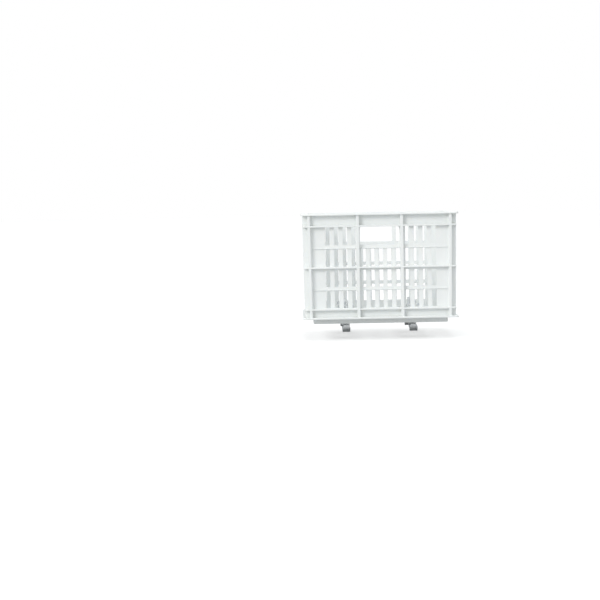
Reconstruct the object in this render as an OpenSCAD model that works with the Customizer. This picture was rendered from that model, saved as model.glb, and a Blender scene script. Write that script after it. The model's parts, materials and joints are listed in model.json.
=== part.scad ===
// Slotted stacking crate for a bicycle's front carrier, held to the carrier's two rails by four hook
// clamps that are tightened from inside the crate.
// +X is the bicycle's forward direction, +Y its left side and +Z up.
// The origin is the centre of the crate's flat underside, which rests on the rails.

/* [Crate] */
// Length over the rim, along the bicycle
rim_l = 295; // [292:1:310]
// Width over the rim, across the bicycle
rim_w = 340; // [338:1:360]
// Height from the underside to the top of the rim
crate_h = 207; // [206:1:212]
// Thickness of the wall plates
wall_t = 2.8; // [2.6:0.1:3.4]
// How far the ribs and fins stand out from the wall plates
rib_depth = 8.5; // [6:0.5:10]
// Lean of every upright face, in degrees
draft = 0.7; // [0:0.1:1]

/* [Slots and handles] */
// Width of the wall slots
slot_w = 8.1; // [5:0.1:8.1]
// Spacing of neighbouring wall slots
slot_pitch = 16.1; // [15.6:0.1:16.1]
// How far the slots of a side wall sit to the right of its middle, seen from outside
slot_shift = 1.6; // [0:0.1:1.6]
// Length of a handle hole
handle_l = 74; // [60:1:74]

/* [Clamps] */
// Diameter of the carrier's rails
rail_d = 16; // [14:0.5:18]
// Distance between the axes of the two rails
rail_gap = 190; // [180:1:200]
// Distance between the front and the rear clamps
clamp_gap = 128; // [126:1:130]
// Width of a hook, along its rail
hook_w = 15; // [12:0.5:18]
// Thickness of the hook's strip
hook_t = 2.5; // [2:0.1:3]
// Diameter of the clamp bolts
bolt_d = 6; // [5:0.5:6]
// Length of a clamp bolt under its head
bolt_l = 50; // [48:1:55]

/* [Hidden] */
$fn = 48;
eps = 0.01;

// Clamp positions: name, side along X, side along Y
CORNERS = [
    ["front_left", 1, 1],
    ["front_right", 1, -1],
    ["rear_left", -1, 1],
    ["rear_right", -1, -1]
];
FIXINGS = ["hook", "bolt", "spreader_plate", "washer", "wing_nut"];

white = [0.93, 0.94, 0.93];
zinc = [0.74, 0.76, 0.78];

// Half sizes of the crate at its rim: the rim itself, the outer plane of the ribs, the wall plates
rim_x = rim_l / 2;
rim_y = rim_w / 2;
rim_lip = 3.5;
rib_x = rim_x - rim_lip;
rib_y = rim_y - rim_lip;
wall_x = rib_x - rib_depth;
wall_y = rib_y - rib_depth;
corner_r = 5;
rib_proud = 0.3;

// Levels above the underside
floor_z = 9;
floor_t = 3.5;
floor_top = floor_z + floor_t;
rib_t = 3.3;
rim_z = crate_h - rib_t;
upper_rib_z = 181.7;
major_rib_z = 104;
lower_rib_z = 25.7;
// Each row of slots as [bottom, top]
ROWS = [[30, 62.5], [69.5, 101], [107.5, 140.6], [148, upper_rib_z]];
handle_row = ROWS[3];
handle_r = 3;

// Ribs and fins
fin_t = 6.2;
fin_x = 41.3;
fin_y = 49;
edge_t = 5;
bead_t = 1.5;
bead_depth = 2;
bead_gap = 0.4;
gusset = 5;
gusset_tip = 3.2;

// Slot centres along each wall: the middle bay, then one outer bay
out_first = 9;
out_stretch = 0.3;
MID_X = [for (i = [-2:2]) i * slot_pitch];
OUT_X = [for (i = [0:3]) fin_x + out_first + i * (slot_pitch + out_stretch)];
MID_Y = [for (i = [0:2]) (i + 0.5) * slot_pitch];
OUT_Y = [for (i = [0:4]) fin_y + out_first + i * (slot_pitch + out_stretch)];

// Underside
flange_inset = 1.5;
skirt_inset = 21;
skirt_x = rim_x - skirt_inset;
skirt_y = rim_y - skirt_inset;
skirt_t = 2.8;
under_rib_t = 2.2;
UNDER_X = [0, 42, 86];
UNDER_Y = [0, 30, 114];
mid_under_y = 72;
floor_slot_w = 7;
FLOOR_COLS = [[10.5, 21, 31.5], [53.5, 64, 74.5], [96.5, 106.5, 116]];
FLOOR_ROWS = [[3.5, 26.5], [33.5, 69.5], [74.5, 110.5], [117.5, 142.5]];

// Clamps
clamp_x = clamp_gap / 2;
rail_y = rail_gap / 2;
rail_drop = 0.2;
rail_z = -rail_d / 2 - rail_drop;
saddle_r = rail_d / 2 + 0.1;
bolt_from_rail = 22;
bolt_y = rail_y - bolt_from_rail;
tab_top = -9;
tab_bottom = tab_top - hook_t;
tab_tuck = 0.2;
bend_r = 1.5;
heel_from_bolt = 19;
heel_y = bolt_y - heel_from_bolt;
heel_top = 0.7;
lip_h = 3.2;
lip_cut = 4;
land_z = 1;
land_t = 3;
clamp_travel = 20;
clamp_slot_w = bolt_d + 2;
clamp_slot_l = 2 * clamp_travel + bolt_d + 2;
neck_w = bolt_d + 0.5;
neck_fit = 0.2;
neck_h = 4.6;
head_r = 8.25;
head_h = 3.8;
head_trim = 0.2;
bolt_tip = 1;
bolt_taper = 1.6;
spreader_l = 36;
spreader_w = 30;
spreader_t = 2;
spreader_r = 3;
spreader_fit = 0.6;
spreader_z = floor_top + 0.3;
washer_r = 6.25;
washer_t = 1.6;
washer_fit = 0.4;
washer_z = spreader_z + spreader_t;
nut_gap = 0.2;
nut_z = washer_z + washer_t + nut_gap;
thread_fit = 0.1;
nut_h = 8;
hub_r = 6.5;
hub_top_r = 5.2;
wing_span = 16.5;
wing_h = 16.5;
wing_t = 2.2;
wing_tip_r = 4.4;
nut_turn = 20;

// Half size, at height z, of a leaning face whose half size is h at the rim
function lean(h, z) = h - (crate_h - z) * tan(draft);

// Outline of a slab with two leaning sides, a little taller than the crate
module lean_outline(h) {
    high = crate_h + 10;
    polygon([[-lean(h, -10), -10], [lean(h, -10), -10], [lean(h, high), high], [-lean(h, high), high]]);
}

// Slab whose two X faces lean, long along Y
module slab_x(h)
    rotate([90, 0, 0]) linear_extrude(height = 2 * rim_w, center = true) lean_outline(h);

// Slab whose two Y faces lean, long along X
module slab_y(h)
    rotate([90, 0, 90]) linear_extrude(height = 2 * rim_l, center = true) lean_outline(h);

// Box between z0 and z1 with four leaning sides
module lean_box(hx, hy, z0, z1)
    intersection() {
        slab_x(hx);
        slab_y(hy);
        post(0, 0, 2 * rim_l, 2 * rim_w, z0, z1);
    }

// Flat rectangle with round corners, by its half sizes
module rounded(hx, hy, r) {
    square([2 * (hx - r), 2 * hy], center = true);
    square([2 * hx, 2 * (hy - r)], center = true);
    for (x = [-1, 1], y = [-1, 1])
        translate([x * (hx - r), y * (hy - r)]) circle(r);
}

// Box centred on [x, y] that stands on z0 and reaches z1
module post(x, y, sx, sy, z0, z1)
    translate([x - sx / 2, y - sy / 2, z0]) cube([sx, sy, z1 - z0]);

// Wall plates across +Y and -Y, which run on past the corners to the plane of the ribs
module side_plates()
    difference() {
        lean_box(rib_x, wall_y, floor_z, crate_h - eps);
        slab_y(wall_y - wall_t);
        for (s = [-1, 1]) {
            for (r = ROWS, x = concat(OUT_X, -OUT_X))
                side_slot(s, x, r);
            for (i = [0:2], x = MID_X)
                side_slot(s, x, ROWS[i]);
        }
        handle_hole();
    }

// Cutter for one slot in the wall on side s, at x from the middle of its pattern
module side_slot(s, x, row)
    post(x - s * slot_shift, s * wall_y, slot_w, 4 * rib_depth, row[0], row[1]);

// Handle hole through both of those walls
module handle_hole()
    translate([0, 0, (handle_row[0] + handle_row[1]) / 2])
        rotate([90, 0, 0])
            linear_extrude(height = rim_w, center = true)
                rounded(handle_l / 2, (handle_row[1] - handle_row[0]) / 2, handle_r);

// Wall plates across +X and -X
module end_plates()
    difference() {
        lean_box(wall_x, rib_y, floor_z, crate_h - eps);
        slab_x(wall_x - wall_t);
        for (r = ROWS, y = concat(MID_Y, -MID_Y, OUT_Y, -OUT_Y))
            post(0, y, rim_l, slot_w, r[0], r[1]);
    }

// Upright fins on the outside of the walls, thick edges at the corners and sloped gussets beside them
module fins()
    difference() {
        intersection() {
            lean_box(rib_x, rib_y, floor_z, rim_z + 1);
            union() {
                for (x = [-fin_x, fin_x])
                    post(x, 0, fin_t, rim_w, floor_z, crate_h);
                for (y = [-fin_y, fin_y])
                    post(0, y, rim_l, fin_t, floor_z, crate_h);
                for (sx = [-1, 1], sy = [-1, 1])
                    corner_edges(sx, sy);
            }
        }
        lean_box(wall_x - 1, wall_y - 1, floor_z - 1, crate_h + 1);
    }

// The two thick edges and the two gussets at one corner
module corner_edges(sx, sy) {
    tuck_x = lean(wall_x, crate_h / 2) - wall_t / 2;
    tuck_y = lean(wall_y, crate_h / 2) - wall_t / 2;
    edge_x = lean(wall_x, crate_h / 2) - edge_t;
    edge_y = lean(wall_y, crate_h / 2) - edge_t;
    mirror([sx < 0 ? 1 : 0, 0, 0]) mirror([0, sy < 0 ? 1 : 0, 0])
        translate([0, 0, floor_z]) linear_extrude(height = rim_z - floor_z) {
            polygon([[edge_x - gusset, edge_y], [edge_x, rib_y - gusset_tip], [edge_x, rib_y],
                     [tuck_x, rib_y], [tuck_x, edge_y]]);
            polygon([[edge_x, edge_y - gusset], [rib_x - gusset_tip, edge_y], [rib_x, edge_y],
                     [rib_x, tuck_y], [edge_x, tuck_y]]);
        }
}

// Level rib all the way round, with its outer edge at the plane of the ribs
module ring(z, t, hx, hy)
    difference() {
        translate([0, 0, z]) linear_extrude(height = t) rounded(hx, hy, corner_r);
        lean_box(wall_x - wall_t, wall_y - wall_t, z - 1, z + t + 1);
    }

module ribs() {
    for (z = [lower_rib_z, major_rib_z, upper_rib_z])
        ring(z, rib_t, lean(rib_x, z) + rib_proud, lean(rib_y, z) + rib_proud);
    ring(rim_z, rib_t, rim_x, rim_y);
    for (z = [ROWS[0][1], ROWS[2][1]])
        ring(z + bead_gap, bead_t, lean(wall_x, z) + bead_depth, lean(wall_y, z) + bead_depth);
}

// One quarter of the openings in the floor
module floor_slots()
    for (i = [0:3], j = [0:2], x = FLOOR_COLS[j])
        if (j != 1 || i == 0 || i == 3)
            translate([x - floor_slot_w / 2, FLOOR_ROWS[i][0]])
                square([floor_slot_w, FLOOR_ROWS[i][1] - FLOOR_ROWS[i][0]]);

// Floor plate, which reaches out as the bottom flange
module floor_plate()
    translate([0, 0, floor_z]) linear_extrude(height = floor_t)
        difference() {
            rounded(rim_x - flange_inset, rim_y - flange_inset, corner_r);
            for (sx = [-1, 1], sy = [-1, 1]) {
                quarter(sx, sy) floor_slots();
                translate([sx * clamp_x, sy * bolt_y])
                    square([clamp_slot_w, clamp_slot_l], center = true);
            }
        }

// Mirror a flat shape into the quarter that sx and sy name
module quarter(sx, sy)
    mirror([sx < 0 ? 1 : 0, 0]) mirror([0, sy < 0 ? 1 : 0]) children();

// Skirt, which drops into the rim of the crate below when crates are stacked
module skirt()
    linear_extrude(height = floor_z + 1)
        difference() {
            rounded(skirt_x, skirt_y, corner_r);
            rounded(skirt_x - skirt_t, skirt_y - skirt_t, corner_r - skirt_t);
        }

// Ribs under the floor, flush with the skirt, and the lands that the hooks' heels press on
module under_ribs() {
    inner_x = skirt_x - 1;
    inner_y = skirt_y - 1;
    for (x = UNDER_X, s = [-1, 1])
        if (x > 0 || s > 0)
            post(s * x, 0, under_rib_t, 2 * inner_y, 0, floor_z + 1);
    for (y = UNDER_Y, s = [-1, 1])
        if (y > 0 || s > 0)
            post(0, s * y, 2 * inner_x, under_rib_t, 0, floor_z + 1);
    for (s = [-1, 1]) {
        post(0, s * mid_under_y, 2 * UNDER_X[1], under_rib_t, 0, floor_z + 1);
        for (e = [-1, 1])
            post(e * (UNDER_X[2] + inner_x) / 2, s * mid_under_y, inner_x - UNDER_X[2],
                 under_rib_t, 0, floor_z + 1);
    }
    for (sx = [-1, 1], sy = [-1, 1], e = [-1, 1])
        post(sx * clamp_x + e * (clamp_slot_w + land_t) / 2, sy * (UNDER_Y[1] + UNDER_Y[2]) / 2,
             land_t, UNDER_Y[2] - UNDER_Y[1], land_z, floor_z + 1);
}

module crate()
    color(white) {
        side_plates();
        end_plates();
        fins();
        ribs();
        floor_plate();
        skirt();
        under_ribs();
    }

// Put a clamp piece, drawn for the front left corner, at corner c
module at_corner(c)
    translate([c[1] * clamp_x, 0, 0]) mirror([0, c[2] < 0 ? 1 : 0, 0]) children();

// Quarter bend of the hook's strip, with its centre at [y, z] and starting at angle a
module bend(y, z, a)
    translate([y, z]) rotate(a)
        intersection() {
            difference() {
                circle(bend_r + hook_t);
                circle(bend_r);
            }
            square(bend_r + hook_t);
        }

// Side view of the hook: heel, tab, saddle and lip
module hook_outline() {
    outer_r = saddle_r + hook_t;
    heel_in = heel_y + hook_t + bend_r;
    translate([heel_y, tab_top + bend_r]) square([hook_t, heel_top - tab_top - bend_r]);
    bend(heel_in, tab_top + bend_r, 180);
    translate([heel_in, tab_bottom]) square([rail_y - saddle_r - tab_tuck - heel_in, hook_t]);
    translate([rail_y, rail_z]) {
        difference() {
            circle(outer_r);
            circle(saddle_r);
            translate([-outer_r - 1, tab_top - rail_z]) square([outer_r + 1, 2 * outer_r]);
            square(outer_r + 1);
        }
        translate([saddle_r, 0]) square([hook_t, lip_h - hook_t / 2]);
        translate([saddle_r + hook_t / 2, lip_h - hook_t / 2]) circle(hook_t / 2);
    }
}

// Bent steel strip that grips a rail from below
module hook()
    color(zinc) difference() {
        rotate([90, 0, 90]) linear_extrude(height = hook_w, center = true) hook_outline();
        post(0, bolt_y, neck_w + neck_fit, neck_w + neck_fit, tab_bottom - 1, tab_top + 1);
        for (s = [-1, 1])
            translate([s * hook_w / 2, rail_y + saddle_r - 1, rail_z + lip_h])
                rotate([0, 45, 0]) cube([lip_cut, 2 * hook_t + lip_cut, lip_cut], center = true);
    }

// Carriage bolt, head down, with its square neck in the hook
module bolt()
    color(zinc) translate([0, bolt_y, tab_bottom]) {
        cap_r = (head_r * head_r + head_h * head_h) / (2 * head_h);
        intersection() {
            translate([0, 0, cap_r - head_h]) sphere(cap_r, $fn = 96);
            translate([0, 0, -head_h - 1]) cylinder(r = head_r - head_trim, h = head_h + 1);
        }
        post(0, 0, neck_w, neck_w, -eps, neck_h);
        cylinder(d = bolt_d, h = bolt_l - bolt_tip);
        translate([0, 0, bolt_l - bolt_tip - eps])
            cylinder(d1 = bolt_d, d2 = bolt_d - bolt_taper, h = bolt_tip);
    }

// Steel plate that bridges the floor slot inside the crate
module spreader_plate()
    color(zinc) translate([0, bolt_y, spreader_z]) difference() {
        linear_extrude(height = spreader_t) rounded(spreader_l / 2, spreader_w / 2, spreader_r);
        translate([0, 0, -1]) cylinder(d = bolt_d + spreader_fit, h = spreader_t + 2);
    }

module washer()
    color(zinc) translate([0, bolt_y, washer_z]) difference() {
        cylinder(r = washer_r, h = washer_t);
        translate([0, 0, -1]) cylinder(d = bolt_d + washer_fit, h = washer_t + 2);
    }

// Side view of one wing of the nut
module wing_outline() {
    translate([wing_span - wing_tip_r, wing_h - wing_tip_r]) circle(wing_tip_r);
    polygon([[hub_top_r - 1.5, 0.8], [hub_r + 1, 1.6], [wing_span - 0.6, wing_h - wing_tip_r - 2],
             [wing_span - 2 * wing_tip_r + 0.6, wing_h - wing_tip_r + 2.2], [hub_top_r - 1, nut_h - 0.4]]);
}

// Nut with two wings that is turned by hand from inside the crate
module wing_nut()
    color(zinc) translate([0, bolt_y, nut_z]) rotate(nut_turn) difference() {
        union() {
            cylinder(r1 = hub_r, r2 = hub_top_r, h = nut_h);
            for (a = [0, 180])
                rotate([90, 0, a]) linear_extrude(height = wing_t, center = true) wing_outline();
        }
        translate([0, 0, -1]) cylinder(d = bolt_d + thread_fit, h = nut_h + 2);
    }

crate();
for (c = CORNERS) {
    at_corner(c) hook();
    at_corner(c) bolt();
    at_corner(c) spreader_plate();
    at_corner(c) washer();
    at_corner(c) wing_nut();
}
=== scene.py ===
"""Looks for the slotted bicycle crate and its rail clamps.

Pieces are shaped in millimetres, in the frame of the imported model, and scaled to metres at the end.
"""

import json
import math

import bmesh
import bpy
from mathutils import Euler, Matrix, Vector


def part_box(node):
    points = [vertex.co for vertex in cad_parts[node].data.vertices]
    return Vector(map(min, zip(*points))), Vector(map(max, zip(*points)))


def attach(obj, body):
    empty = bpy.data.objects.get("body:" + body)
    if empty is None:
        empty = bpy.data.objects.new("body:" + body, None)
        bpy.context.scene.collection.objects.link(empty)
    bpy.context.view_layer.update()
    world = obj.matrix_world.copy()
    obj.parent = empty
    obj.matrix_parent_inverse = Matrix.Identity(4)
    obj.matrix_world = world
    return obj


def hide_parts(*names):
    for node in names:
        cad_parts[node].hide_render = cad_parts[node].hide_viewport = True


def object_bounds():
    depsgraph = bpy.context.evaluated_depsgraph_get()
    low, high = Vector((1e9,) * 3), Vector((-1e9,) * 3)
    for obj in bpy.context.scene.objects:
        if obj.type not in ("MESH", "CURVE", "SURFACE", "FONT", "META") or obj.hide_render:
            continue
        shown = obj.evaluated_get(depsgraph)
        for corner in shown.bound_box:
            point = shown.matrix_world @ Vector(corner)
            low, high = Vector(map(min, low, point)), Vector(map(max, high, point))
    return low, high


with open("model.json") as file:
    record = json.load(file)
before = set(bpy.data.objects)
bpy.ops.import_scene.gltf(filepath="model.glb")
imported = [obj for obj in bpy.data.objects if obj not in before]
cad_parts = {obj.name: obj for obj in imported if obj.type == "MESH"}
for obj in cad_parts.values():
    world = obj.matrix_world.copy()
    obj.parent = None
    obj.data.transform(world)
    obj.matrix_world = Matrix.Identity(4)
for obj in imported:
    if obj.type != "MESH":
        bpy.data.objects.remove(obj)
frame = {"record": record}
cad_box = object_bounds()
MM = 0.001
CORNERS = {"front_left": (1, 1), "front_right": (1, -1), "rear_left": (-1, 1), "rear_right": (-1, -1)}
SIGNS = (-1, 1)

# Crate, from its packed box: half sizes at the rim, the ribs' outer plane and the wall plates
crate_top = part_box("crate")[1] / MM
RIM_X, RIM_Y, CRATE_H = crate_top
RIM_LIP, RIB_DEPTH, RIB_PROUD = 3.5, 8.5, 0.3
RIB_X, RIB_Y = RIM_X - RIM_LIP, RIM_Y - RIM_LIP
WALL_X, WALL_Y = RIB_X - RIB_DEPTH, RIB_Y - RIB_DEPTH
WALL_T = 2.8
MID_T = WALL_T / 2
DRAFT = math.tan(math.radians(0.7))
CORNER_R = 5
EDGE = 0.6

# Levels of the crate's parts
FLOOR = (9, 12.5)
RIB_T = 3.3
RIBS = (25.7, 104, 181.7)
BEADS = (62.9, 141)
BEAD_T, BEAD_DEPTH = 1.5, 2
ROWS = ((30, 62.5), (69.5, 101), (107.5, 140.6), (148, 181.7))
LOW_JOIN, HIGH_JOIN = 10.8, 205.2

# Slots, fins and the corners' thick edges
SLOT_W, SLOT_SHIFT, PITCH, OUT_PITCH, OUT_FIRST = 8.1, 1.6, 16.1, 16.4, 9
MID_X = [i * PITCH for i in range(-2, 3)]
HANDLE_L = 74
FIN_X, FIN_Y, FIN_T, EDGE_T = 41.3, 49, 6.2, 5
OUT_X = [FIN_X + OUT_FIRST + i * OUT_PITCH for i in range(4)]
OUT_Y = [FIN_Y + OUT_FIRST + i * OUT_PITCH for i in range(5)]
ALL_Y = [(i + 0.5) * PITCH for i in range(3)] + OUT_Y
GUSSET_RUN, GUSSET_TIP = 3.25, 3.2

# Underside, with the half sizes of the slots that the clamps slide along
FLANGE_INSET, SKIRT_INSET, SKIRT_T = 1.5, 21, 2.8
SKIRT_X, SKIRT_Y = RIM_X - SKIRT_INSET, RIM_Y - SKIRT_INSET
UNDER_T, UNDER_REACH = 2.2, 1.2
UNDER_X, UNDER_Y, UNDER_BAY_Y = (-86, -42, 0, 42, 86), (-114, -30, 0, 30, 114), 72
LAND_X, LAND_T, LAND_FOOT = (58.5, 69.5), 3, 1
FLOOR_SLOT_HX, CLAMP_SLOT_HX, CLAMP_SLOT_HY = 3.5, 4, 24
FLOOR_COLS = ((10.5, 21, 31.5), (53.5, 64, 74.5), (96.5, 106.5, 116))
FLOOR_ROWS = ((3.5, 26.5), (33.5, 69.5), (74.5, 110.5), (117.5, 142.5))

# Clamps: the hook's strip, saddle and lip, the bolt's head, neck and thread, and the hooks' travel
HOOK_W, HOOK_T, SADDLE_R, LIP_H = 15, 2.5, 8.1, 3.2
TAB_LOW, TAB_MID = -11.5, -10.25
HEAD_R, HEAD_H, NECK_HALF, NECK_TOP = 8.25, 3.8, 3.25, -7
BOLT_R, THREAD_DEPTH, THREAD_PITCH, TIP_R = 3, 0.55, 1.0, 2.2
WASHER_R, WASHER_BORE = 6.25, 3.2
PLATE_HX, PLATE_HY, PLATE_R = 18, 15, 3
NUT_TURN = 20
HOOK_DROP = 12


# ---------------------------------------------------------------- camera, light and floor

def make_camera():
    """A long lens, right of the crate's middle and a little above its rim, that looks across it."""
    data = bpy.data.cameras.new("camera")
    data.sensor_width = 36
    data.lens = 132.56
    data.clip_end = 100
    camera = bpy.data.objects.new("camera", data)
    camera.location = (-0.1583, -4.3, 0.2353)
    camera.rotation_euler = Euler((math.radians(90 - 2.608), 0, math.radians(-0.095)))
    camera.rotation_euler.rotate_axis("Z", math.radians(-1.08))
    bpy.context.scene.collection.objects.link(camera)
    bpy.context.scene.camera = camera


def area_light(name, place, target, size, power, colour):
    """A square soft light at one place that faces another."""
    data = bpy.data.lights.new(name, "AREA")
    data.shape = "SQUARE"
    data.size = size
    data.energy = power
    data.color = colour
    light = bpy.data.objects.new(name, data)
    light.location = place
    light.rotation_euler = (Vector(target) - Vector(place)).to_track_quat("-Z", "Y").to_euler()
    bpy.context.scene.collection.objects.link(light)


def make_world():
    """Even white studio light: the backdrop is white to the camera and dimmer as a light source."""
    world = bpy.data.worlds.new("studio")
    bpy.context.scene.world = world
    world.use_nodes = True
    nodes, links = world.node_tree.nodes, world.node_tree.links
    nodes.clear()
    out = nodes.new("ShaderNodeOutputWorld")
    fill = nodes.new("ShaderNodeBackground")
    fill.inputs["Color"].default_value = (0.97, 0.99, 1.0, 1)
    fill.inputs["Strength"].default_value = 0.82
    backdrop = nodes.new("ShaderNodeBackground")
    backdrop.inputs["Color"].default_value = (1, 1, 1, 1)
    backdrop.inputs["Strength"].default_value = 1.0
    mix = nodes.new("ShaderNodeMixShader")
    path = nodes.new("ShaderNodeLightPath")
    links.new(path.outputs["Is Camera Ray"], mix.inputs["Fac"])
    links.new(fill.outputs[0], mix.inputs[1])
    links.new(backdrop.outputs[0], mix.inputs[2])
    links.new(mix.outputs[0], out.inputs["Surface"])


def make_floor():
    """A wide pale floor just below the lowest point that the hooks reach when they are let down."""
    half, level = 30, cad_box[0].z - HOOK_DROP * MM
    mesh = bpy.data.meshes.new("floor")
    corners = [(-half, -half, level), (half, -half, level), (half, half, level), (-half, half, level)]
    mesh.from_pydata(corners, [], [(0, 1, 2, 3)])
    floor = bpy.data.objects.new("floor", mesh)
    bpy.context.scene.collection.objects.link(floor)
    n = Nodes("floor")
    n.shader.inputs["Base Color"].default_value = (0.52, 0.522, 0.52, 1)
    n.shader.inputs["Roughness"].default_value = 0.75
    n.shader.inputs["Emission Color"].default_value = (1, 1, 1, 1)
    seen = n.add("LightPath").outputs["Is Camera Ray"]
    n.join(n.math("MULTIPLY", seen, 0.56), n.shader.inputs["Emission Strength"])
    mesh.materials.append(n.material)


# ---------------------------------------------------------------- materials

class Nodes:
    """A short way to add and join shader nodes."""

    def __init__(self, name):
        self.material = bpy.data.materials.new(name)
        self.material.use_nodes = True
        self.tree = self.material.node_tree
        self.shader = self.tree.nodes["Principled BSDF"]

    def add(self, kind, inputs=None, **settings):
        node = self.tree.nodes.new("ShaderNode" + kind)
        for key, value in settings.items():
            setattr(node, key, value)
        for key, value in (inputs or {}).items():
            self.join(value, node.inputs[key])
        return node

    def join(self, value, socket):
        if isinstance(value, bpy.types.NodeSocket):
            self.tree.links.new(value, socket)
        else:
            socket.default_value = value

    def place(self, stretch=(1, 1, 1)):
        """The point on the surface in metres, scaled by stretch."""
        node = self.add("Mapping", {"Vector": self.add("TexCoord").outputs["Object"], "Scale": stretch})
        return node.outputs["Vector"]

    def noise(self, scale, detail=3, roughness=0.5, stretch=(1, 1, 1)):
        node = self.add("TexNoise", {"Scale": scale, "Detail": detail, "Roughness": roughness})
        self.join(self.place(stretch), node.inputs["Vector"])
        return node.outputs["Fac"]

    def ramp(self, fac, low, high, dark=(0, 0, 0, 1), bright=(1, 1, 1, 1)):
        node = self.add("ValToRGB", {"Fac": fac})
        node.color_ramp.elements[0].position = low
        node.color_ramp.elements[0].color = dark
        node.color_ramp.elements[1].position = high
        node.color_ramp.elements[1].color = bright
        return node.outputs["Color"]

    def span(self, value, low, high, to_low=0.0, to_high=1.0):
        node = self.add("MapRange", {"Value": value, "From Min": low, "From Max": high,
                                     "To Min": to_low, "To Max": to_high})
        return node.outputs["Result"]

    def math(self, operation, a, b):
        node = self.add("Math", operation=operation)
        self.join(a, node.inputs[0])
        self.join(b, node.inputs[1])
        return node.outputs[0]

    def mix(self, fac, a, b, blend="MIX"):
        node = self.add("Mix", data_type="RGBA", blend_type=blend)
        self.join(fac, node.inputs[0])
        self.join(a, node.inputs[6])
        self.join(b, node.inputs[7])
        return node.outputs[2]

    def bump(self, height, strength, distance, under=None):
        node = self.add("Bump", {"Height": height, "Strength": strength, "Distance": distance})
        if under:
            self.join(under, node.inputs["Normal"])
        return node.outputs["Normal"]


def crate_plastic():
    """White moulded polypropylene: satin, faintly translucent, scuffed on its edges, with painted shade in its
    corners.
    """
    n = Nodes("crate_plastic")
    s = n.shader
    cloud = n.ramp(n.noise(7, 4), 0.32, 0.68, (0.845, 0.872, 0.868, 1), (0.885, 0.905, 0.905, 1))
    flow = n.span(n.noise(26, 5, 0.6, (1, 1, 0.22)), 0.35, 0.65)
    base = n.mix(n.math("MULTIPLY", flow, 0.35), cloud, (0.815, 0.845, 0.838, 1))
    scuff = n.span(n.noise(160, 6, 0.7, (1, 1, 3)), 0.60, 0.72)
    edge = n.span(n.add("NewGeometry").outputs["Pointiness"], 0.515, 0.56)
    wear = n.math("MULTIPLY", edge, n.span(n.noise(55, 4), 0.42, 0.62))
    base = n.mix(n.math("MULTIPLY", wear, 0.5), base, (0.90, 0.905, 0.895, 1))
    # Painted shade: the colour darkens to olive grey in hollows found by ambient occlusion, broken up by
    # noise; the same mask also roughens those hollows.
    hollow = n.add("AmbientOcclusion", {"Distance": 0.012}, samples=6).outputs["AO"]
    hollow_shade = n.math("MULTIPLY", n.span(hollow, 0.55, 0.15), n.span(n.noise(45, 5, 0.6), 0.35, 0.7))
    base = n.mix(n.math("MULTIPLY", hollow_shade, 0.55), base, (0.52, 0.51, 0.44, 1))
    base = n.mix(n.math("MULTIPLY", scuff, 0.22), base, (0.63, 0.64, 0.62, 1))
    n.join(base, s.inputs["Base Color"])
    rough = n.span(n.noise(60, 5), 0.3, 0.7, 0.33, 0.46)
    rough = n.math("ADD", rough, n.math("MULTIPLY", scuff, 0.18))
    n.join(n.math("ADD", rough, n.math("MULTIPLY", hollow_shade, 0.25)), s.inputs["Roughness"])
    s.inputs["Subsurface Weight"].default_value = 0.12
    s.inputs["Subsurface Radius"].default_value = (1.0, 0.95, 0.85)
    s.inputs["Subsurface Scale"].default_value = 0.003
    grain = n.bump(n.noise(900, 2), 0.10, 0.0002)
    waves = n.bump(n.noise(30, 2), 0.12, 0.0015, grain)
    lines = n.bump(n.noise(420, 3, 0.6, (1, 1, 12)), 0.06, 0.0003, waves)
    n.join(lines, s.inputs["Normal"])
    return n.material


def zinc_steel():
    """Bright zinc plating on steel: spangled, a little dull, with rubbed bright edges."""
    n = Nodes("zinc_steel")
    s = n.shader
    s.inputs["Metallic"].default_value = 1.0
    base = n.ramp(n.noise(140, 5, 0.6), 0.35, 0.65, (0.70, 0.72, 0.74, 1), (0.86, 0.87, 0.88, 1))
    edge = n.span(n.add("NewGeometry").outputs["Pointiness"], 0.52, 0.60)
    base = n.mix(n.math("MULTIPLY", edge, 0.6), base, (0.93, 0.94, 0.95, 1))
    tarnish = n.math("MULTIPLY", n.span(n.noise(70, 6, 0.65), 0.55, 0.72), 0.35)
    n.join(n.mix(tarnish, base, (0.55, 0.53, 0.48, 1)), s.inputs["Base Color"])
    rough = n.span(n.noise(260, 4), 0.3, 0.7, 0.22, 0.40)
    n.join(n.math("ADD", rough, n.math("MULTIPLY", tarnish, 0.35)), s.inputs["Roughness"])
    n.join(n.bump(n.noise(700, 3), 0.12, 0.0002), s.inputs["Normal"])
    return n.material


# ---------------------------------------------------------------- shaping, in millimetres

def rounded_rect(hx, hy, r, steps=3):
    """Outline of a rectangle of half sizes hx and hy with round corners."""
    points = []
    for quarter, (sx, sy) in enumerate(((1, 1), (-1, 1), (-1, -1), (1, -1))):
        for i in range(steps + 1):
            a = math.pi / 2 * (quarter + i / steps)
            points.append((sx * (hx - r) + r * math.cos(a), sy * (hy - r) + r * math.sin(a)))
    return points


def circle(r, count):
    """Outline of a circle, as count points."""
    return [(r * math.cos(a), r * math.sin(a)) for a in (2 * math.pi * i / count for i in range(count))]


def soften(points, radii, steps=3, closed=True):
    """Replace each corner of an outline by a small curve that starts its radius away from the corner."""
    out = []
    last = len(points) - 1
    for i, (corner, radius) in enumerate(zip(points, radii)):
        if radius == 0 or (not closed and i in (0, last)):
            out.append(Vector(corner))
            continue
        corner = Vector(corner)
        start = corner + (Vector(points[i - 1]) - corner).normalized() * radius
        end = corner + (Vector(points[(i + 1) % (last + 1)]) - corner).normalized() * radius
        for k in range(steps + 1):
            t = k / steps
            out.append(start * (1 - t) ** 2 + corner * 2 * t * (1 - t) + end * t ** 2)
    return out


def quarter_round(r, steps=2):
    """Points (grow, depth) of the rounded edge of a hole, from the surface inwards."""
    turns = [math.pi / 2 * i / steps for i in range(steps + 1)]
    return [(r - r * math.sin(t), r - r * math.cos(t)) for t in turns]


def lean(half, z):
    """Half size, at height z, of a leaning face whose half size is given at the rim."""
    return half - (CRATE_H - z) * DRAFT


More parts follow.
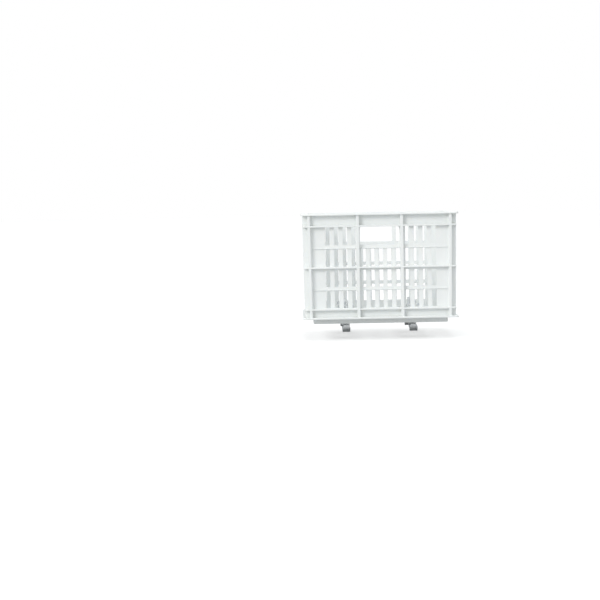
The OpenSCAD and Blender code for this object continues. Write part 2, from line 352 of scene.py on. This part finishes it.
class Shape:
    """A set of closed skins, each lofted through loops of points."""

    def __init__(self):
        self.bm = bmesh.new()

    def loft(self, loops, ring=False):
        """Skin through loops of equal length, with capped ends unless the last loop joins the first."""
        rows = [[self.bm.verts.new(point) for point in loop] for loop in loops]
        pairs = list(zip(rows, rows[1:]))
        if ring:
            pairs.append((rows[-1], rows[0]))
        else:
            self.bm.faces.new(rows[0])
            self.bm.faces.new(rows[-1])
        for a, b in pairs:
            for i in range(len(a)):
                j = (i + 1) % len(a)
                self.bm.faces.new((a[i], a[j], b[j], b[i]))
        return self

    def turned(self, profile, count=32, ring=False):
        """Solid of revolution about Z through points (radius, z)."""
        return self.loft([[(x, y, z) for x, y in circle(r, count)] for r, z in profile], ring)

    def frame_ring(self, hx, hy, profile):
        """Ring round the crate whose section has points (inset, z)."""
        loops = []
        for inset, z in profile:
            outline = rounded_rect(hx - inset, hy - inset, max(CORNER_R - inset, EDGE))
            loops.append([(x, y, z) for x, y in outline])
        return self.loft(loops, ring=True)

    def object(self, name="shape"):
        bmesh.ops.recalc_face_normals(self.bm, faces=self.bm.faces)
        mesh = bpy.data.meshes.new(name)
        self.bm.to_mesh(mesh)
        self.bm.free()
        obj = bpy.data.objects.new(name, mesh)
        bpy.context.scene.collection.objects.link(obj)
        return obj


def combine(base, joined=(), cut=()):
    """One closed object from a base, the objects joined to it and the objects cut from it."""
    steps = [(other, "DIFFERENCE") for other in cut] + [(other, "UNION") for other in joined]
    for other, operation in steps:
        modifier = base.modifiers.new(operation, "BOOLEAN")
        modifier.solver = "MANIFOLD"
        modifier.operation = operation
        modifier.object = other
    mesh = bpy.data.meshes.new_from_object(base.evaluated_get(bpy.context.evaluated_depsgraph_get()))
    for obj in (base, *joined, *cut):
        bpy.data.objects.remove(obj)
    obj = bpy.data.objects.new("combined", mesh)
    bpy.context.scene.collection.objects.link(obj)
    return obj


def finish_piece(obj, name, body, node, material, place=Matrix.Identity(4), sharp=32):
    """Scale a shaped object to metres, put it in place of its CAD node and shade it."""
    obj.name = name
    obj.data.name = name
    obj.data.transform(Matrix.Scale(MM, 4) @ place)
    if place.determinant() < 0:
        obj.data.flip_normals()
    obj.data.materials.clear()
    obj.data.materials.append(material)
    for face in obj.data.polygons:
        face.use_smooth = True
    obj.data.set_sharp_from_angle(angle=math.radians(sharp))
    weighted = obj.modifiers.new("weighted", "WEIGHTED_NORMAL")
    weighted.keep_sharp = True
    weighted.mode = "FACE_AREA_WITH_ANGLE"
    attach(obj, body)
    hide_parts(node)
    return obj


# ---------------------------------------------------------------- crate

def hole_loops(hx, hy, thick, r, edge, over=1.0):
    """Loops (u, v, depth) of a cutter for a hole with rounded edges in a plate of the given thickness."""
    steps = quarter_round(edge)
    levels = [(edge, -over)] + steps + [(grow, thick - depth) for grow, depth in reversed(steps)]
    levels.append((edge, thick + over))
    return [[(u, v, depth) for u, v in rounded_rect(hx + grow, hy + grow, r + grow, 2)]
            for grow, depth in levels]


def wall_holes(shape, along_x, centre, hx, row, shift=0, r=0.8, edge=0.5):
    """Cutters for one hole in each of two facing walls, shifted to the right as seen from outside."""
    half, wall = (row[1] - row[0]) / 2, WALL_Y if along_x else WALL_X
    for side in SIGNS:
        loops = []
        for loop in hole_loops(hx, half, WALL_T, r, edge):
            points = []
            for u, v, depth in loop:
                z = row[0] + half + v
                out = side * (lean(wall, z) - depth)
                along = centre + u - side * shift
                points.append((along, out, z) if along_x else (out, along, z))
            loops.append(points)
        shape.loft(loops)


def side_walls():
    """The walls across +Y and -Y, which run on past the corners, with slots and handle holes."""
    plates, holes = Shape(), Shape()
    for side in SIGNS:
        loops = []
        for z in (LOW_JOIN, HIGH_JOIN):
            end, out = lean(RIB_X, z), side * lean(WALL_Y, z)
            inner = out - side * WALL_T
            corners = [(-end, inner), (end, inner), (end, out), (-end, out)]
            loops.append([(x, y, z) for x, y in soften(corners, [EDGE] * 4)])
        plates.loft(loops)
    for number, row in enumerate(ROWS):
        middle = MID_X if number < 3 else []
        for x in [*middle, *OUT_X, *(-x for x in OUT_X)]:
            wall_holes(holes, True, x, SLOT_W / 2, row, SLOT_SHIFT)
    wall_holes(holes, True, 0, HANDLE_L / 2, ROWS[3], r=3, edge=0.9)
    return combine(plates.object(), cut=[holes.object()])


def end_walls():
    """The walls across +X and -X, with slots."""
    plates, holes = Shape(), Shape()
    for side in SIGNS:
        loops = []
        for z in (LOW_JOIN, HIGH_JOIN - 0.4):
            end, out = lean(RIB_Y, z), side * lean(WALL_X, z)
            inner = out - side * WALL_T
            corners = [(inner, -end), (out, -end), (out, end), (inner, end)]
            loops.append([(x, y, z) for x, y in soften(corners, [EDGE] * 4)])
        plates.loft(loops)
    for row in ROWS:
        for y in [*ALL_Y, *(-y for y in ALL_Y)]:
            wall_holes(holes, False, y, SLOT_W / 2, row)
    return combine(plates.object(), cut=[holes.object()])


def fins():
    """Upright fins between the bays of each wall, a little thinner at their outer edge."""
    shape = Shape()
    half, taper = FIN_T / 2, 0.25
    for side in SIGNS:
        for other in SIGNS:
            for place, wall, rib, swap in ((FIN_X, WALL_Y, RIB_Y, False), (FIN_Y, WALL_X, RIB_X, True)):
                loops = []
                for z in (LOW_JOIN, HIGH_JOIN - 0.8):
                    root, tip, mid = side * (lean(wall, z) - MID_T), side * lean(rib, z), other * place
                    corners = [(mid - half, root), (mid + half, root), (mid + half - taper, tip),
                               (mid - half + taper, tip)]
                    outline = soften(corners, [0, 0, EDGE, EDGE])
                    loops.append([(y, x, z) if swap else (x, y, z) for x, y in outline])
                shape.loft(loops)
    return shape.object()


def corner_edges(swap):
    """The thick edge and sloped gusset on one side of each corner."""
    shape = Shape()
    along, across = ((WALL_Y, RIB_Y), WALL_X) if not swap else ((WALL_X, RIB_X), WALL_Y)
    for su in SIGNS:
        for sv in SIGNS:
            loops = []
            for z in (LOW_JOIN, HIGH_JOIN - 1.2):
                edge, tuck = lean(across, z) - EDGE_T, lean(across, z) - MID_T
                root, tip = lean(along[0], z) - MID_T, lean(along[1], z)
                corners = [(edge - GUSSET_RUN, root), (edge, tip - GUSSET_TIP), (edge, tip), (tuck, tip),
                           (tuck, root)]
                outline = [(su * u, sv * v) for u, v in soften(corners, [0, EDGE, EDGE, 0, 0])]
                loops.append([(v, u, z) if swap else (u, v, z) for u, v in outline])
            shape.loft(loops)
    return shape.object()


def rib_rings():
    """Rim, ribs and beads, each a ring round the crate with a tapered and rounded outer edge."""
    shape = Shape()
    taper = 0.25
    for z in RIBS:
        depth = lean(RIB_X, z) - lean(WALL_X, z) + MID_T + RIB_PROUD
        corners = [(depth, z), (0, z + taper), (0, z + RIB_T - taper), (depth, z + RIB_T)]
        section = soften(corners, [0, EDGE, EDGE, 0])
        shape.frame_ring(lean(RIB_X, z) + RIB_PROUD, lean(RIB_Y, z) + RIB_PROUD, section)
    for z in BEADS:
        root = BEAD_DEPTH + MID_T
        corners = [(root, z), (0, z + 0.2), (0, z + 1.3), (root, z + BEAD_T)]
        section = soften(corners, [0, 0.4, 0.4, 0])
        shape.frame_ring(lean(WALL_X, z) + BEAD_DEPTH, lean(WALL_Y, z) + BEAD_DEPTH, section)
    low, inside = CRATE_H - RIB_T, RIM_X - WALL_X + WALL_T
    corners = [(inside + RIB_T * DRAFT, low), (0, low), (0, CRATE_H), (inside, CRATE_H)]
    shape.frame_ring(RIM_X, RIM_Y, soften(corners, [0, 0.8, 1.0, 0.8]))
    return shape.object()


def floor_plate():
    """Floor with its slots, which reaches out past the walls as the bottom flange."""
    plate, holes = Shape(), Shape()
    low, high = FLOOR
    r = 0.8
    levels = [(r * (1 - math.sin(t)), low + r * (1 - math.cos(t))) for t in (0, 0.52, 1.05, math.pi / 2)]
    levels += [(inset, low + high - z) for inset, z in reversed(levels)]
    hx, hy = RIM_X - FLANGE_INSET, RIM_Y - FLANGE_INSET
    plate.loft([[(x, y, z) for x, y in rounded_rect(hx - inset, hy - inset, CORNER_R, 4)]
                for inset, z in levels])

    def hole(x, y, hx, hy):
        loops = hole_loops(hx, hy, high - low, 0.8, 0.5)
        holes.loft([[(x + u, y + v, high - depth) for u, v, depth in loop] for loop in loops])

    for sx in SIGNS:
        for sy in SIGNS:
            for number, (y0, y1) in enumerate(FLOOR_ROWS):
                for columns in FLOOR_COLS:
                    if columns is FLOOR_COLS[1] and number in (1, 2):
                        continue
                    for x in columns:
                        hole(sx * x, sy * (y0 + y1) / 2, FLOOR_SLOT_HX, (y1 - y0) / 2)
            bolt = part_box(f"bolt_{'front' if sx > 0 else 'rear'}_{'left' if sy > 0 else 'right'}")
            middle = (bolt[0] + bolt[1]) / 2 / MM
            hole(middle.x, middle.y, CLAMP_SLOT_HX, CLAMP_SLOT_HY)
    return combine(plate.object(), cut=[holes.object()])


def skirt():
    """Tapered ring that stands below the floor and drops into the rim of a crate below."""
    shape = Shape()
    taper, edge = 0.15, 0.7
    corners = [(0, LOW_JOIN), (taper, 0), (SKIRT_T - taper, 0), (SKIRT_T, LOW_JOIN)]
    shape.frame_ring(SKIRT_X, SKIRT_Y, soften(corners, [0, edge, edge, 0]))
    return shape.object()


def under_bars(bars, along_y):
    """Upright bars under the floor, as (offset, from, to, thickness, foot), with rounded feet."""
    shape = Shape()
    top, taper = LOW_JOIN - 0.6, 0.1
    for offset, start, end, thick, foot in bars:
        half = thick / 2
        corners = [(offset - half, top), (offset - half + taper, foot), (offset + half - taper, foot),
                   (offset + half, top)]
        section = soften(corners, [0, 0.5, 0.5, 0])
        loops = []
        for v in (start, end):
            loops.append([(u, v, z) if along_y else (v, u, z) for u, z in section])
        shape.loft(loops)
    return shape.object()


def under_ribs():
    """The two crossing sets of ribs under the floor, and the lands for the hooks' heels."""
    reach_x, reach_y = SKIRT_X - UNDER_REACH, SKIRT_Y - UNDER_REACH
    inner_x, outer_x = UNDER_X[-2:]
    upright = [(x, -reach_y, reach_y, UNDER_T, 0) for x in UNDER_X]
    for sx in SIGNS:
        for sy in SIGNS:
            start, end = sorted(sy * y for y in UNDER_Y[-2:])
            upright += [(sx * x, start, end, LAND_T, LAND_FOOT) for x in LAND_X]
    crossing = [(y, -reach_x, reach_x, UNDER_T, 0) for y in UNDER_Y]
    for y in (-UNDER_BAY_Y, UNDER_BAY_Y):
        crossing.append((y, -inner_x, inner_x, UNDER_T, 0))
        crossing += [(y, -reach_x, -outer_x, UNDER_T, 0), (y, outer_x, reach_x, UNDER_T, 0)]
    return [under_bars(upright, True), under_bars(crossing, False)]


def make_crate(plastic):
    """The whole moulding, as one closed skin."""
    parts = [end_walls(), rib_rings(), fins(), corner_edges(False), corner_edges(True), floor_plate(), skirt()]
    crate = combine(side_walls(), joined=parts + under_ribs())
    finish_piece(crate, "slotted_crate", "crate", "crate", plastic)


# ---------------------------------------------------------------- clamps

def hook_shape(rail, heel):
    """Bent steel strip, side on in the Y-Z plane: heel, tab, saddle round the rail and lip."""
    half_w, half_t = HOOK_W / 2, HOOK_T / 2
    radius = SADDLE_R + half_t
    start = math.radians(215)
    first = Vector((rail.y + radius * math.cos(start), rail.z + radius * math.sin(start)))
    back = Vector((math.sin(start), -math.cos(start)))
    knee = first + back * ((TAB_MID - first.y) / back.y)
    corners = [(heel.y, heel.z), (heel.y, TAB_MID), knee, first]
    path = soften(corners, [0, 3, 3, 0], 5, closed=False)
    bends = 14
    for i in range(1, bends + 1):
        a = start + (2 * math.pi - start) * i / bends
        path.append(Vector((rail.y + radius * math.cos(a), rail.z + radius * math.sin(a))))
    lip = Vector((rail.y + radius, rail.z + LIP_H))
    path += [lip - Vector((0, 0.4)), lip]
    widths = [half_w] * (len(path) - 3) + [half_w - 0.4, half_w - 2.4, half_w - 3.2]
    thick = [half_t] * (len(path) - 1) + [half_t - 0.5]
    loops = []
    for i, point in enumerate(path):
        ahead, behind = path[min(i + 1, len(path) - 1)], path[max(i - 1, 0)]
        along = (ahead - behind).normalized()
        normal = Vector((-along.y, along.x))
        section = rounded_rect(widths[i], thick[i], 0.45)
        loops.append([(u, point.x + normal.x * v, point.y + normal.y * v) for u, v in section])
    return Shape().loft(loops).object()


def bolt_shape(tip):
    """Carriage bolt: domed head under the hook's tab, square neck and a helical thread up to z = tip."""
    base, neck_top = TAB_LOW, NECK_TOP
    dome = [(HEAD_R * math.sin(a), base - HEAD_H * math.cos(a)) for a in (0.08, 0.4, 0.75, 1.1, 1.4)]
    shape = Shape().turned(dome + [(HEAD_R, base - 0.35), (HEAD_R - 0.25, base), (5.0, base + 0.2)])
    shape.loft([[(x, y, z) for x, y in rounded_rect(NECK_HALF - inset, NECK_HALF - inset, 0.4)]
                for inset, z in ((0, base - 0.6), (0, neck_top - 0.6), (0.5, neck_top))])
    shank = Shape()
    pitch, count, rows_per_turn = THREAD_PITCH, 24, 4
    rows = int((tip - 1 - neck_top + 0.6) / pitch * rows_per_turn)
    loops = []
    for row in range(rows + 1):
        z = neck_top - 0.6 + row * pitch / rows_per_turn
        fade = min(1, row / 6, (rows - row) / 6)
        loop = []
        for i in range(count):
            phase = (z / pitch - i / count) % 1
            r = BOLT_R - THREAD_DEPTH * fade * abs(2 * phase - 1) - 0.3 * (1 - fade)
            a = 2 * math.pi * i / count
            loop.append((r * math.cos(a), r * math.sin(a), z))
        loops.append(loop)
    loops.append([(x, y, tip) for x, y in circle(TIP_R, count)])
    shank.loft(loops)
    return combine(shape.object(), joined=[shank.object()])


def wing_nut_shape():
    """Pressed wing nut, standing on z = 0: turned hub, two curved wings and a threaded bore."""
    hub = [(6.0, 0), (6.45, 0.35), (6.4, 1.2), (5.5, 5.5), (5.2, 7.2), (4.8, 7.8), (4.4, 8)]
    body = Shape().turned(hub, 36)
    outline = [(3.5, 1.0), (7.2, 1.5), (10.6, 4.8), (13.4, 8.0), (15.9, 10.2), (16.5, 12.6), (15.6, 15.3),
               (13.2, 16.5), (10.4, 15.8), (8.6, 12.9), (7.0, 9.2), (5.4, 7.4), (3.5, 7.2)]
    outline = soften(outline, [0] + [0.8] * 11 + [0], 2)
    centre = Vector((10.5, 8.5))
    wings = Shape()
    for side in SIGNS:
        loops = []
        for depth, shrink in ((-1.1, 0.91), (-0.9, 0.965), (-0.5, 1), (0.5, 1), (0.9, 0.965), (1.1, 0.91)):
            loop = []
            for point in outline:
                p = centre + (point - centre) * shrink
                loop.append((side * p.x, depth * (1.35 - 0.03 * p.x), p.y))
            loops.append(loop)
        wings.loft(loops)
    bore = Shape().turned([(3.6, -0.5), (3.05, 0.4), (3.05, 7.6), (3.6, 8.5)], 24)
    return combine(combine(body.object(), joined=[wings.object()]), cut=[bore.object()])


def washer_shape(thick):
    """Flat ring with softened edges, standing on z = 0."""
    corners = [(WASHER_BORE, 0), (WASHER_R, 0), (WASHER_R, thick), (WASHER_BORE, thick)]
    return Shape().turned(soften(corners, [0.2, 0.35, 0.35, 0.2]), 36, ring=True).object()


def spreader_shape(thick):
    """Small steel plate with rounded corners and a hole for the bolt."""
    levels = ((0.4, 0), (0.1, 0.15), (0, 0.5), (0, thick - 0.6), (0.15, thick - 0.2), (0.6, thick))
    plate = Shape().loft([[(x, y, z) for x, y in rounded_rect(PLATE_HX - inset, PLATE_HY - inset, PLATE_R, 5)]
                          for inset, z in levels])
    bore = Shape().turned([(3.9, -0.5), (3.3, 0.3), (3.3, thick - 0.3), (3.9, thick + 0.5)], 28)
    return combine(plate.object(), cut=[bore.object()])


def make_clamps(zinc):
    """Hook, bolt, spreader plate, washer and wing nut at each corner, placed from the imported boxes."""
    mounts = {mount["name"]: Vector(mount["pos_m"]) / MM for mount in frame["record"]["mounts"]}
    for corner, (_, sy) in CORNERS.items():
        low, high = (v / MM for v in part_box(f"bolt_{corner}"))
        centre = (low + high) / 2
        boxes = {kind: [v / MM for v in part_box(f"{kind}_{corner}")]
                 for kind in ("hook", "spreader_plate", "washer", "wing_nut")}
        mirror = Matrix.Diagonal((1, sy, 1, 1))
        rail = mounts[f"rail_clamp_{corner}"]
        heel_y = min(abs(boxes["hook"][0].y), abs(boxes["hook"][1].y)) + HOOK_T / 2
        hook = hook_shape(Vector((0, abs(rail.y), rail.z)), Vector((0, heel_y, boxes["hook"][1].z)))
        finish_piece(hook, f"rail_hook_{corner}", f"hook_{corner}", f"hook_{corner}", zinc,
                     Matrix.Translation((centre.x, 0, 0)) @ mirror)
        at_bolt = Matrix.Translation((centre.x, centre.y, 0))
        finish_piece(bolt_shape(high.z), f"carriage_bolt_{corner}", f"hook_{corner}", f"bolt_{corner}",
                     zinc, at_bolt)
        for kind, name, shape in (("spreader_plate", "bridge_plate", spreader_shape),
                                  ("washer", "flat_washer", washer_shape)):
            bottom, top = boxes[kind]
            finish_piece(shape(top.z - bottom.z), f"{name}_{corner}", f"slider_{corner}", f"{kind}_{corner}",
                         zinc, at_bolt @ Matrix.Translation((0, 0, bottom.z)))
        turn = Matrix.Rotation(math.radians(NUT_TURN * sy), 4, "Z")
        finish_piece(wing_nut_shape(), f"butterfly_nut_{corner}", f"nut_{corner}", f"wing_nut_{corner}",
                     zinc, at_bolt @ Matrix.Translation((0, 0, boxes["wing_nut"][0].z)) @ turn)


bpy.context.scene.view_settings.view_transform = "Standard"
make_camera()
make_world()
make_floor()
area_light("key", (-2.9, -3.3, 2.2), (0, 0, 0.1), 1.6, 84, (1.0, 0.985, 0.96))
area_light("overhead", (0.1, -0.2, 2.4), (0, 0, 0.1), 1.4, 14, (0.97, 0.99, 1.0))
make_crate(crate_plastic())
make_clamps(zinc_steel())
